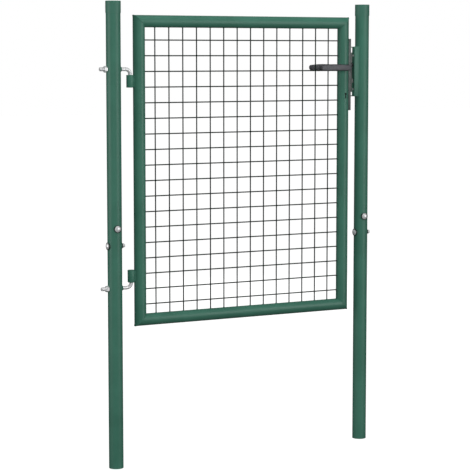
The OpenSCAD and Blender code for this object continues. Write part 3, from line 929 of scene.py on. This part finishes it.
@dataclass
class PlateScrews(SubAssembly):
    """Pair of countersunk screws with hexagon sockets, one above the other.

    Attributes:
        node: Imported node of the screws.
        name: Name of their piece.
        body: Body that they ride on.
        facing: 1 where the heads look to +X, or -1 where they look to -X.
        head_h: Height of the head's cone, in metres.
        shank_r: Radius of the shank, in metres.
        socket_share: Radius of the socket, as a share of the head's.
        socket_depth: Depth of the socket, as a share of the head's height.
    """

    node: str
    name: str
    body: Body
    facing: int
    head_h: float = 1.8 * MM
    shank_r: float = 2.0 * MM
    socket_share: float = 0.45
    socket_depth: float = 0.75

    def build(self) -> None:
        """Makes both screws in the place of their node."""
        low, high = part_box(self.node)
        head_r = (high.y - low.y) / 2
        face_x = high.x if self.facing > 0 else low.x
        mesh = bmesh.new()
        for z in (low.z + head_r, high.z - head_r):
            place = (Matrix.Translation((face_x, (low.y + high.y) / 2, z))
                     @ Matrix.Rotation(self.facing * math.pi / 2, 4, "Y"))
            self.screw(mesh, place, head_r, high.x - low.x)
        self.shop.finish_piece(mesh, self.name, self.body, Slot.ZINC, replaces=(self.node,))

    def screw(self, mesh: Mesh, place: Matrix, head_r: float, length: float) -> None:
        """Adds one screw.

        Args:
            mesh: Mesh to add to.
            place: Where the head's flat face lies, its +Z pointing out.
            head_r: Radius of the head.
            length: Whole length.
        """
        def step_in(depth: float) -> Matrix:
            """Move along the screw, into the plate."""
            return place @ Matrix.Translation((0, 0, -depth))

        rim = add_circle(mesh, place, head_r, 36)
        hollow = add_circle(mesh, place, self.socket_share * head_r, 6)
        bmesh.ops.bridge_loops(mesh, edges=ring_edges(rim) + ring_edges(hollow))
        back = place.inverted()
        floor_ring = extrude_ring(mesh, hollow, step_in(self.socket_depth * self.head_h) @ back)
        shrink = Matrix.Diagonal((self.shank_r / head_r, self.shank_r / head_r, 1, 1))
        neck = extrude_ring(mesh, rim, step_in(self.head_h) @ shrink @ back)
        end = extrude_ring(mesh, neck, step_in(length - self.head_h) @ back)
        for loop in (floor_ring, end):
            bmesh.ops.contextual_create(mesh, geom=ring_edges(loop))


@dataclass
class Posts(SubAssembly):
    """Finish of the posts' fastenings."""

    saddle_edge_r: float = 0.5 * MM
    nut_edge_r: float = 0.25 * MM

    def build(self) -> None:
        """Makes the softened fastenings."""
        for end in ("head", "nut"):
            self.shop.soften(f"{end}_saddle_washers", f"{end}_saddles", Body.POSTS, Slot.DARK_PLASTIC,
                             self.saddle_edge_r)
        self.shop.soften("carriage_nuts", "bolt_nuts", Body.POSTS, Slot.ZINC, self.nut_edge_r)


@dataclass
class Hinges(SubAssembly):
    """Threads of the hooks, weld seams of the bushes and the sleeves."""

    thread_pitch: float = 1.75 * MM
    thread_start: float = 1.5 * MM
    bush_bead_r: float = 0.9 * MM
    sleeve_bead_r: float = 1.9 * MM
    sleeve_edge_r: float = 0.9 * MM
    seam_share: float = 0.46
    bead_step: float = 0.6 * MM

    def build(self) -> None:
        """Makes the hinge details."""
        self.threads()
        self.bush_seams()
        for level in ("upper", "lower"):
            node = f"{level}_hinge_sleeve"
            self.shop.soften(node, f"{level}_sleeve_tube", Body.LEAF, Slot.GREEN_COAT, self.sleeve_edge_r)
            self.sleeve_seams(level)

    def axis_z(self, level: str) -> float:
        """Height of a hook's rod where it goes through the post.

        Args:
            level: Which hook, upper or lower.

        Returns:
            The height, in metres.
        """
        low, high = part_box(f"{level}_hinge_hook")
        rod_r = (high.y - low.y) / 2
        return high.z - rod_r if level == "upper" else low.z + rod_r

    def threads(self) -> None:
        """Makes the thread that shows on each hook's free end."""
        nut_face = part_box("hinge_lock_nuts")[0].x
        mesh = bmesh.new()
        for level in ("upper", "lower"):
            low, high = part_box(f"{level}_hinge_hook")
            start = Vector((low.x + self.thread_start, 0, self.axis_z(level)))
            helix_ridge(mesh, start, nut_face - start.x, (high.y - low.y) / 2, self.thread_pitch)
        self.shop.finish_piece(mesh, "hook_threads", Body.POSTS, Slot.ZINC, smooth_deg=50)

    def bush_seams(self) -> None:
        """Makes the weld seam round each bush, where it meets the round post."""
        low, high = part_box("hinge_bushes")
        post_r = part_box("left_post_lower")[1].x
        bush_r = (high.y - low.y) / 2
        mesh = bmesh.new()
        for level in ("upper", "lower"):
            path = []
            for angle in ring_angles(bush_r, self.bead_step):
                y = bush_r * math.cos(angle)
                z = self.axis_z(level) + bush_r * math.sin(angle)
                path.append(Vector((math.sqrt(post_r ** 2 - y ** 2), y, z)))
            weld_bead(mesh, path, self.bush_bead_r, closed=True)
        self.shop.finish_piece(mesh, "bush_weld_seams", Body.POSTS, Slot.GREEN_COAT, smooth_deg=60)

    def sleeve_seams(self, level: str) -> None:
        """Makes the two upright seams between a sleeve and the stile.

        Args:
            level: Which hinge, upper or lower.
        """
        low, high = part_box(f"{level}_hinge_sleeve")
        stile_low, stile_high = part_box("left_stile")
        sleeve_r = (high.x - low.x) / 2
        stile_r = (stile_high.x - stile_low.x) / 2
        y = self.seam_share * sleeve_r
        sleeve_x = (low.x + high.x) / 2 + math.sqrt(sleeve_r ** 2 - y ** 2)
        stile_x = (stile_low.x + stile_high.x) / 2 - math.sqrt(stile_r ** 2 - y ** 2)
        x = (sleeve_x + stile_x) / 2
        inset = 1.5 * self.sleeve_bead_r
        mesh = bmesh.new()
        for side in (-1, 1):
            foot = Vector((x, side * y, low.z + inset))
            path = straight_path(foot, Vector((x, side * y, high.z - inset)), self.bead_step)
            weld_bead(mesh, path, self.sleeve_bead_r)
        self.shop.finish_piece(mesh, f"{level}_sleeve_weld_seams", Body.LEAF, Slot.GREEN_COAT,
                               smooth_deg=60)


@dataclass
class MeshPanel(SubAssembly):
    """Weld metal of the frame's corners and of the mesh.

    Attributes:
        pitch: Pitch of the wires both ways.
        corner_bead_r: Radius of the corner seams.
        mitre_length: Length round a mitre, as a share of the tube's girth, about.
        bead_step: Distance between the rings of a seam.
        crossing: Half sizes of a crossing's weld.
        foot_r: Half width of the weld at a wire's end.
        foot_h: Half height of the weld at a wire's end.
    """

    pitch: float = 50 * MM
    corner_bead_r: float = 0.8 * MM
    mitre_length: float = 1.2
    bead_step: float = 0.8 * MM
    crossing: tuple[float, float, float] = (2.1 * MM, 1.3 * MM, 2.1 * MM)
    foot_r: float = 3.1 * MM
    foot_h: float = 1.5 * MM

    def build(self) -> None:
        """Makes the weld seams and nuggets."""
        self.corner_seams()
        self.crossing_nuggets()
        self.wire_feet()

    def corner_seams(self) -> None:
        """Makes the seam along each corner's mitre, an ellipse round both tubes."""
        mesh = bmesh.new()
        for side, stile in ((-1, "left_stile"), (1, "right_stile")):
            low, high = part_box(stile)
            tube_r = (high.x - low.x) / 2
            for level, corner_z in ((-1, low.z + tube_r), (1, high.z - tube_r)):
                path = []
                for angle in ring_angles(self.mitre_length * tube_r, self.bead_step):
                    reach = tube_r * math.cos(angle)
                    path.append(Vector((low.x + tube_r + side * reach, tube_r * math.sin(angle),
                                        corner_z + level * reach)))
                weld_bead(mesh, path, self.corner_bead_r, closed=True)
        self.shop.finish_piece(mesh, "corner_weld_seams", Body.LEAF, Slot.GREEN_COAT, smooth_deg=60)

    def wire_places(self, node: str, axis: int) -> list[float]:
        """Places of a set of wires across their length.

        Args:
            node: Node of the wires.
            axis: Axis along which they are spaced, 0 for X or 2 for Z.

        Returns:
            The wires' axes along that axis, in metres.
        """
        low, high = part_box(node)
        wire_r = (high.y - low.y) / 2
        first = low[axis] + wire_r
        count = round((high[axis] - wire_r - first) / self.pitch)
        return [first + index * self.pitch for index in range(count + 1)]

    def crossing_nuggets(self) -> None:
        """Makes the spot weld at every crossing of two wires."""
        mesh = bmesh.new()
        for x in self.wire_places("upright_wires", 0):
            for z in self.wire_places("level_wires", 2):
                nugget(mesh, Vector((x, 0, z)), Vector(self.crossing))
        self.shop.finish_piece(mesh, "mesh_spot_welds", Body.LEAF, Slot.GREEN_WIRE, smooth_deg=80)

    def wire_feet(self) -> None:
        """Makes the small weld at each end of each wire, on the frame tube."""
        mesh = bmesh.new()
        up_low, up_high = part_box("upright_wires")
        level_low, level_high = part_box("level_wires")
        for x in self.wire_places("upright_wires", 0):
            for z in (up_low.z, up_high.z):
                nugget(mesh, Vector((x, (up_low.y + up_high.y) / 2, z)),
                       Vector((self.foot_r, self.foot_r, self.foot_h)))
        for z in self.wire_places("level_wires", 2):
            for x in (level_low.x, level_high.x):
                nugget(mesh, Vector((x, (level_low.y + level_high.y) / 2, z)),
                       Vector((self.foot_h, self.foot_r, self.foot_r)))
        self.shop.finish_piece(mesh, "wire_end_welds", Body.LEAF, Slot.GREEN_COAT, smooth_deg=80)


@dataclass
class Lock(SubAssembly):
    """Forend, bolts, screws and latch spring of the lock."""

    edge_r: float = 0.5 * MM
    spring_wire_r: float = 0.4 * MM
    spring_turns: int = 7
    spring_keep: float = 0.38

    def build(self) -> None:
        """Makes the lock's softened pieces, its screws and its spring."""
        for node, name, body, slot in (
                ("forend_plate", "forend_channel", Body.LEAF, Slot.LOCK_GREY),
                ("latch_bolt", "latch_head_and_tail", Body.LATCH, Slot.DARK_STEEL),
                ("deadbolt", "deadbolt_bar", Body.LOCK_BOLT, Slot.DARK_STEEL)):
            self.shop.soften(node, name, body, slot, self.edge_r)
        PlateScrews(self.shop, "forend_screws", "forend_socket_screws", Body.LEAF, facing=1).build()
        self.latch_spring()

    def latch_spring(self) -> None:
        """Makes the latch's spring coil at its full length, with a mesh of its own."""
        low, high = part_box("latch_spring")
        middle = (low + high) / 2
        length = high.x - low.x - 2 * self.spring_wire_r
        mesh = bmesh.new()
        helix(mesh, Vector((low.x + self.spring_wire_r, middle.y, middle.z)), length,
              (high.y - low.y) / 2 - self.spring_wire_r, length / self.spring_turns, self.spring_wire_r,
              sides=8)
        made = self.shop.finish_piece(mesh, "latch_spring_coil", Body.LEAF, Slot.ZINC,
                                      replaces=("latch_spring",))
        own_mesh(made)


@dataclass
class Levers(SubAssembly):
    """Cast levers with rounded grips.

    Attributes:
        hub_r: Radius of the grip's outline round the spindle.
        tip_r: Radius of the tip's lower corner.
        tip_top_r: Radius of the tip's upper corner.
        crown_drop: Fall of the upper edge from its crown to the hub.
        crown_share: Place of the crown, as a share of the way to the tip.
        tip_drop: Fall of the upper edge from its crown to the tip.
        crown_steps: Steps of the upper edge.
        shoulder_share: Where the hub's arc ends, as a share of its radius.
        thickness: Thickness of the grip.
        rounding: Rounding of the grip's edges.
        rounding_steps: Steps of that rounding.
        neck_d: Diameter of the neck.
        fillet_r: Radius of the fillet between neck and grip.
        fillet_steps: Steps of that fillet.
        neck_sides: Sides of the rings round the neck.
        arc_step_deg: Angle between the points of an arc.
    """

    hub_r: float = 10.5 * MM
    tip_r: float = 10.5 * MM
    tip_top_r: float = 7.0 * MM
    crown_drop: float = 3.0 * MM
    crown_share: float = 0.55
    tip_drop: float = 3.6 * MM
    crown_steps: int = 16
    shoulder_share: float = 0.55
    thickness: float = 13.0 * MM
    rounding: float = 4.4 * MM
    rounding_steps: int = 6
    neck_d: float = 17.0 * MM
    fillet_r: float = 2.0 * MM
    fillet_steps: int = 5
    neck_sides: int = 48
    arc_step_deg: float = 9.0

    def build(self) -> None:
        """Makes both levers."""
        for side, node in ((-1, "front_lever"), (1, "back_lever")):
            mesh = self.neck(node, side)
            self.grip(mesh, node, side)
            self.neck_fillet(mesh, node, side)
            self.shop.finish_piece(mesh, f"{node}_casting", Body.HANDLE, Slot.LEVER_GREY, smooth_deg=40,
                                   replaces=(node,))

    def hub(self, node: str) -> Vector:
        """Centre of the lever's hub, at the grip's mid height."""
        low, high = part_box(node)
        return Vector((high.x - self.hub_r, 0, (low.z + high.z) / 2))

    def grip_face(self, node: str, side: int) -> float:
        """Place of the grip's face that looks at the leaf.

        Args:
            node: Node of the lever.
            side: -1 for the front or 1 for the back.

        Returns:
            Its Y, in metres.
        """
        low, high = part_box(node)
        outer = low.y if side < 0 else high.y
        return outer - side * self.thickness

    def neck(self, node: str, side: int) -> Mesh:
        """Cuts the neck, with its square socket and its screw hole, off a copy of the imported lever.

        Args:
            node: Node of the lever.
            side: -1 for the front or 1 for the back.

        Returns:
            The neck's mesh.
        """
        mesh = merged_copy(node)
        face_y = self.grip_face(node, side)
        cut_y = face_y + side * self.fillet_r
        bmesh.ops.bisect_plane(mesh, geom=[*mesh.verts, *mesh.edges, *mesh.faces], dist=MERGE,
                               plane_co=(0, cut_y, 0), plane_no=(0, side, 0), clear_outer=True)
        hub = self.hub(node)
        grip = []
        for face in mesh.faces:
            middle = face.calc_center_median()
            if side * (middle.y - face_y) > -MERGE and abs(middle.x - hub.x) > self.hub_r:
                grip.append(face)
        bmesh.ops.delete(mesh, geom=grip, context="FACES")
        return mesh

    def arc(self, centre: Outline, radius: float, start_deg: float, end_deg: float) -> list[Outline]:
        """Points of an arc.

        Args:
            centre: Centre, as X and Z.
            radius: Radius, in metres.
            start_deg: Angle of the first point.
            end_deg: Angle of the last point.

        Returns:
            The points, as X and Z.
        """
        sweep = end_deg - start_deg
        count = max(2, round(sweep / self.arc_step_deg))
        angles = [math.radians(start_deg + sweep * index / count) for index in range(count + 1)]
        return [(centre[0] + radius * math.cos(a), centre[1] + radius * math.sin(a)) for a in angles]

    def outline(self, node: str) -> list[Outline]:
        """Outline of a grip seen from the front, anticlockwise from the hub's lowest point.

        Args:
            node: Node of the lever.

        Returns:
            Points as X and Z in the gate's frame.
        """
        low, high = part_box(node)
        half = (high.z - low.z) / 2
        hub = self.hub(node)
        length = hub.x - low.x
        span = self.crown_share * length

        def crown(reach: float) -> float:
            """Height of the upper edge at a distance from the spindle."""
            past = (reach - span) / (length - span) if reach > span else 0.0
            short = (span - reach) / span if reach < span else 0.0
            return half - self.tip_drop * past ** 2 - self.crown_drop * short ** 2

        first = self.shoulder_share * self.hub_r
        last = length - self.tip_top_r
        lift = math.degrees(math.asin(self.shoulder_share))
        points = self.arc((0, self.hub_r - half), self.hub_r, -90, 90 + lift)
        for index in range(1, self.crown_steps):
            reach = first + (last - first) * index / self.crown_steps
            points.append((-reach, crown(reach)))
        points += self.arc((-last, crown(last) - self.tip_top_r), self.tip_top_r, 90, 180)
        points += self.arc((self.tip_r - length, self.tip_r - half), self.tip_r, 180, 270)
        return [(hub.x + x, hub.z + z) for x, z in points]

    def grip(self, mesh: Mesh, node: str, side: int) -> None:
        """Adds the grip: its outline extruded and rounded all round.

        Args:
            mesh: Mesh to add to.
            node: Node of the lever.
            side: -1 for the front or 1 for the back.
        """
        y = self.grip_face(node, side)
        verts = [mesh.verts.new((x, y, z)) for x, z in self.outline(node)]
        face = mesh.faces.new(verts)
        made = bmesh.ops.extrude_face_region(mesh, geom=[face])["geom"]
        outer = [item for item in made if isinstance(item, Vert)]
        bmesh.ops.translate(mesh, vec=(0, side * self.thickness, 0), verts=outer)
        if not face.is_valid:
            mesh.faces.new(verts)
        bevel_edges(mesh, ring_edges(verts) + ring_edges(outer), self.rounding, self.rounding_steps)

    def neck_fillet(self, mesh: Mesh, node: str, side: int) -> None:
        """Adds the hollow fillet between the neck and the grip.

        Args:
            mesh: Mesh to add to.
            node: Node of the lever.
            side: -1 for the front or 1 for the back.
        """
        face_y = self.grip_face(node, side)
        hub = self.hub(node)
        neck_r = self.neck_d / 2
        angles = [math.pi / 2 * index / self.fillet_steps for index in range(self.fillet_steps + 1)]
        rings = [(neck_r + self.fillet_r * (1 - math.sin(angle)),
                  face_y - side * self.fillet_r * (1 - math.cos(angle))) for angle in angles]
        radius, y = rings[0]
        turn = Matrix.Rotation(math.pi / 2, 4, "X")
        ring = add_circle(mesh, Matrix.Translation((hub.x, y, hub.z)) @ turn, radius, self.neck_sides)
        for next_radius, next_y in rings[1:]:
            scale = next_radius / radius
            grow = (Matrix.Translation((hub.x, next_y, hub.z)) @ Matrix.Diagonal((scale, 1, scale, 1))
                    @ Matrix.Translation((-hub.x, -y, -hub.z)))
            ring = extrude_ring(mesh, ring, grow)
            radius, y = next_radius, next_y


@dataclass
class Keep(SubAssembly):
    """Keep on the latch post, with its strike plate and its weld seams."""

    bracket_edge_r: float = 1.1 * MM
    strike_edge_r: float = 0.6 * MM
    bead_r: float = 1.5 * MM
    bead_step: float = 0.7 * MM

    def build(self) -> None:
        """Makes the keep's pieces."""
        self.shop.soften("keep_bracket", "keep_folded_sheet", Body.POSTS, Slot.GREEN_COAT,
                         self.bracket_edge_r)
        # The strike plate's paler grey is painted light that brightens it where it lies in shade behind
        # the forend
        self.shop.soften("strike_plate", "strike_folded_sheet", Body.POSTS, Slot.LOCK_GREY,
                         self.strike_edge_r, finish=STRIKE_SHEET_PAINTED_LIGHT)
        self.post_seams()
        PlateScrews(self.shop, "strike_screws", "strike_socket_screws", Body.POSTS, facing=-1).build()

    def post_seams(self) -> None:
        """Makes the seams between the bracket and the round post."""
        low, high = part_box("keep_bracket")
        post_low, post_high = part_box("right_post_upper")
        post_x = (post_low.x + post_high.x) / 2
        post_r = (post_high.x - post_low.x) / 2

        def on_post(y: float, z: float) -> Vector:
            """Point on the post's near side."""
            return Vector((post_x - math.sqrt(post_r ** 2 - y ** 2), y, z))

        mesh = bmesh.new()
        upright = straight_path(on_post(low.y, low.z + self.bead_r), on_post(low.y, high.z - self.bead_r),
                                self.bead_step)
        weld_bead(mesh, upright, self.bead_r)
        steps = round((high.y - low.y) / self.bead_step)
        for z in (low.z, high.z):
            weld_bead(mesh, [on_post(low.y + (high.y - low.y) * index / steps, z)
                             for index in range(steps + 1)], self.bead_r)
        self.shop.finish_piece(mesh, "keep_weld_seams", Body.POSTS, Slot.GREEN_COAT, smooth_deg=60)


# --- Stage ---


@dataclass
class Softbox:
    """One soft light.

    Attributes:
        name: Name of the light.
        place: Its centre.
        size: Its width and its height, in metres.
        watts: Its power.
        mirrored: Whether glossy surfaces show it.
        target: Point that it faces.
    """

    name: str
    place: tuple[float, float, float]
    size: tuple[float, float]
    watts: float
    mirrored: bool = True
    target: tuple[float, float, float] = (0.45, 0.0, 0.8)

    def build(self) -> None:
        """Makes the light."""
        data = bpy.data.lights.new(self.name, "AREA")
        data.shape = "RECTANGLE"
        data.size, data.size_y = self.size
        data.energy = self.watts
        made = bpy.data.objects.new(self.name, data)
        made.location = self.place
        towards = Vector(self.target) - Vector(self.place)
        made.rotation_euler = towards.to_track_quat("-Z", "Y").to_euler()
        made.visible_glossy = self.mirrored
        bpy.context.scene.collection.objects.link(made)


@dataclass
class Studio:
    """Floor, surround, lights and camera.

    Attributes:
        eye: Place of the camera.
        heading_deg: Its turn from +Y towards +X.
        dip_deg: Its tilt below the horizon.
        lens_mm: Its focal length.
        sensor_mm: Width of its sensor.
        surround: Strength of the surround as a light.
        gloss_surround: Strength of the surround in reflections.
        floor_glow: Strength of the floor's glow, for the camera alone.
        floor_tone: Brightness of the floor as a surface.
        floor_reach: Half the floor's width, in metres.
        lights: The soft lights.
    """

    eye: tuple[float, float, float] = (-2.2701, -5.0123, 1.332)
    heading_deg: float = 28.376
    dip_deg: float = 5.966
    lens_mm: float = 132.2
    sensor_mm: float = 36.0
    surround: float = 0.26
    gloss_surround: float = 0.14
    floor_glow: float = 1.0
    floor_tone: float = 0.08
    floor_reach: float = 30.0
    lights: tuple[Softbox, ...] = (
        Softbox("right_softbox", (2.6, -3.4, 1.4), (1.5, 2.7), 46),
        Softbox("left_softbox", (-3.4, 0.3, 1.4), (1.4, 2.7), 36),
        Softbox("front_softbox", (-1.9, -4.4, 1.8), (2.4, 2.8), 150, mirrored=False),
        Softbox("top_softbox", (0.5, -0.6, 4.2), (1.8, 1.8), 55, mirrored=False),
        Softbox("back_softbox", (2.6, 4.0, 1.6), (2.2, 2.4), 90, mirrored=False),
    )

    def build(self) -> None:
        """Builds the stage."""
        self.camera()
        self.floor()
        self.world()
        for light in self.lights:
            light.build()
        bpy.context.scene.view_settings.view_transform = "Standard"

    def camera(self) -> None:
        """Makes the camera."""
        data = bpy.data.cameras.new("camera")
        data.lens = self.lens_mm
        data.sensor_width = self.sensor_mm
        made = bpy.data.objects.new("camera", data)
        made.location = self.eye
        made.rotation_euler = (math.radians(90 - self.dip_deg), 0, -math.radians(self.heading_deg))
        bpy.context.scene.collection.objects.link(made)
        bpy.context.scene.camera = made

    def floor(self) -> None:
        """Makes the pale floor, with a glow that the camera alone sees."""
        mesh = bmesh.new()
        bmesh.ops.create_grid(mesh, x_segments=1, y_segments=1, size=self.floor_reach)
        data = bpy.data.meshes.new("floor")
        mesh.to_mesh(data)
        mesh.free()
        made = bpy.data.objects.new("floor", data)
        bpy.context.scene.collection.objects.link(made)
        paint = bpy.data.materials.new("floor_white")
        paint.use_nodes = True
        graph = Graph(paint.node_tree)
        shader = paint.node_tree.nodes["Principled BSDF"]
        shader.inputs["Base Color"].default_value = (*[self.floor_tone] * 3, 1)
        shader.inputs["Roughness"].default_value = 0.95
        shader.inputs["Specular IOR Level"].default_value = 0.0
        shader.inputs["Emission Color"].default_value = (1, 1, 1, 1)
        seen = graph.node("ShaderNodeLightPath").outputs["Is Camera Ray"]
        graph.join(graph.math("MULTIPLY", seen, self.floor_glow), shader.inputs["Emission Strength"])
        data.materials.append(paint)

    def world(self) -> None:
        """Makes the surround: white where the camera looks, dimmer as a light and as a reflection."""
        made = bpy.data.worlds.new("studio")
        bpy.context.scene.world = made
        made.use_nodes = True
        graph = Graph(made.node_tree)
        back = made.node_tree.nodes["Background"]
        back.inputs["Color"].default_value = (1, 1, 1, 1)
        path = graph.node("ShaderNodeLightPath").outputs
        seen = graph.math("MULTIPLY", path["Is Camera Ray"], 1.0 - self.surround)
        shine = graph.math("MULTIPLY", path["Is Glossy Ray"], self.gloss_surround - self.surround)
        strength = graph.math("ADD", graph.math("ADD", seen, shine), self.surround)
        graph.join(strength, back.inputs["Strength"])


def main() -> None:
    """Builds the pieces sub-assembly by sub-assembly, then the stage."""
    logging.basicConfig(level=logging.INFO, format="%(name)s: %(message)s")
    shop = Workshop()
    shop.dress_nodes()
    for sub_assembly in (Posts, Hinges, MeshPanel, Lock, Levers, Keep):
        sub_assembly(shop).build()
    Studio().build()


if __name__ == "__main__":
    main()
